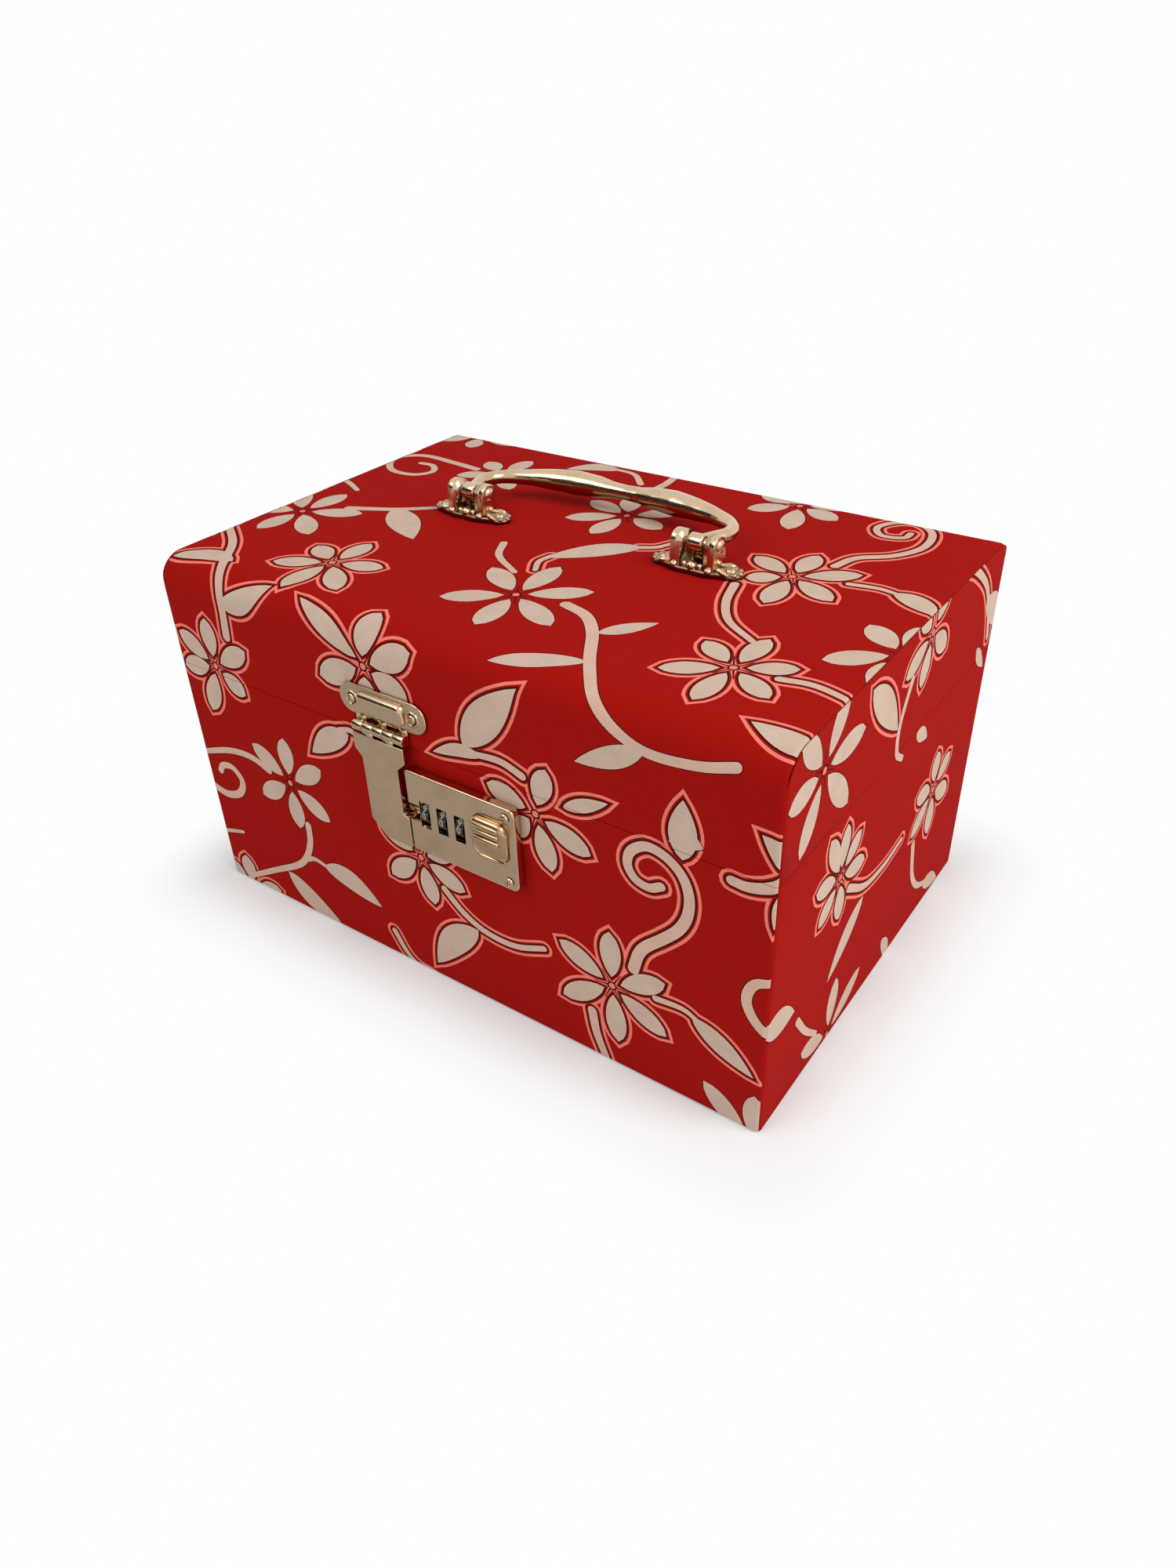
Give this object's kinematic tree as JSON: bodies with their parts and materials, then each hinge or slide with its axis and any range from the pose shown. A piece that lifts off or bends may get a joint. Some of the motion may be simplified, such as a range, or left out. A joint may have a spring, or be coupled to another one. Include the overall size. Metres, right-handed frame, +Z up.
{
  "type": "makeup box",
  "caption": "Rectangular cloth-covered makeup box with a hinged mirror lid, a lift-out tray, a folding carrying handle and a number-dial hasp lock on the front",
  "frame": {"origin": "the middle of the underside of the box, on the surface that it stands on", "axes": "+X to the right along the front with the lock, +Y from the front to the hinges, +Z up"},
  "size_m": [0.3, 0.22, 0.1868],
  "materials": {
    "printed_cloth": "matt block-printed cotton, red ground with pale floral vines",
    "board": "raw pressed board",
    "velvet": "dark red short-pile velvet",
    "ribbon": "gold satin ribbon",
    "sheet": "plain black backing sheet",
    "gilt": "polished pale gold plating",
    "steel": "bright steel",
    "silvered_glass": "flat silvered mirror"
  },
  "bodies": {
    "base": {"bottom_panel": "board", "front_panel": "board", "rear_panel": "board", "left_panel": "board", "right_panel": "board", "base_cloth": "printed_cloth", "bottom_sheet": "sheet", "base_lining": "velvet", "tray_cleat_left": "velvet", "tray_cleat_right": "velvet", "hinge_leaf_base_left": "gilt", "hinge_leaf_base_right": "gilt", "lock_plate": "gilt", "lock_case": "gilt", "lock_screw_top": "steel", "lock_screw_low": "steel", "wheel_axle": "steel"},
    "lid": {"lid_top_panel": "board", "lid_front_rail": "board", "lid_rear_rail": "board", "lid_left_rail": "board", "lid_right_rail": "board", "lid_cloth": "printed_cloth", "lid_lining": "velvet", "lid_mirror": "silvered_glass", "mirror_beading": "gilt", "hinge_leaf_lid_left": "gilt", "hinge_leaf_lid_right": "gilt", "hinge_pin_left": "steel", "hinge_pin_right": "steel", "hasp_plate": "gilt", "hasp_pin": "steel", "hasp_screw_left": "steel", "hasp_screw_right": "steel", "handle_lug_left": "gilt", "handle_lug_right": "gilt", "handle_pin_left": "steel", "handle_pin_right": "steel", "lug_screw_1": "steel", "lug_screw_2": "steel", "lug_screw_3": "steel", "lug_screw_4": "steel"},
    "hasp": {"hasp_arm": "gilt"},
    "handle": {"handle_bail": "gilt"},
    "tray": {"tray_shell": "velvet", "tray_divider_long": "velvet", "tray_divider_left": "velvet", "tray_divider_right": "velvet", "tray_pull_left": "ribbon", "tray_pull_right": "ribbon"},
    "number_wheel_a": {"number_wheel_1": "gilt"},
    "number_wheel_b": {"number_wheel_2": "gilt"},
    "number_wheel_c": {"number_wheel_3": "gilt"},
    "lock_slide": {"slide_button": "gilt", "latch_bolt": "steel"}
  },
  "joints": [
    {"name": "lid_hinge", "type": "hinge", "parent": "base", "child": "lid", "pos_m": [0, 0.1045, 0.1212], "axis": [-1, 0, 0], "range_deg": [0, 100]},
    {"name": "hasp_hinge", "type": "hinge", "parent": "lid", "child": "hasp", "pos_m": [-0.024, -0.1047, 0.1259], "axis": [-1, 0, 0], "range_deg": [0, 140]},
    {"name": "handle_pivot", "type": "hinge", "parent": "lid", "child": "handle", "pos_m": [-0.00475, 0.007, 0.1825], "axis": [1, 0, 0], "range_deg": [0, 190]},
    {"name": "tray_lift", "type": "slide", "parent": "base", "child": "tray", "axis": [0, 0, 1], "range_m": [0, 0.03]},
    {"name": "number_wheel_1_spin", "type": "hinge", "parent": "base", "child": "number_wheel_a", "pos_m": [-0.0027, -0.1024, 0.0948], "axis": [1, 0, 0], "continuous": true},
    {"name": "number_wheel_2_spin", "type": "hinge", "parent": "base", "child": "number_wheel_b", "pos_m": [0.0063, -0.1024, 0.0948], "axis": [1, 0, 0], "continuous": true},
    {"name": "number_wheel_3_spin", "type": "hinge", "parent": "base", "child": "number_wheel_c", "pos_m": [0.0153, -0.1024, 0.0948], "axis": [1, 0, 0], "continuous": true},
    {"name": "lock_slide_travel", "type": "slide", "parent": "base", "child": "lock_slide", "axis": [-1, 0, 0], "range_m": [0, 0.003]}
  ]
}
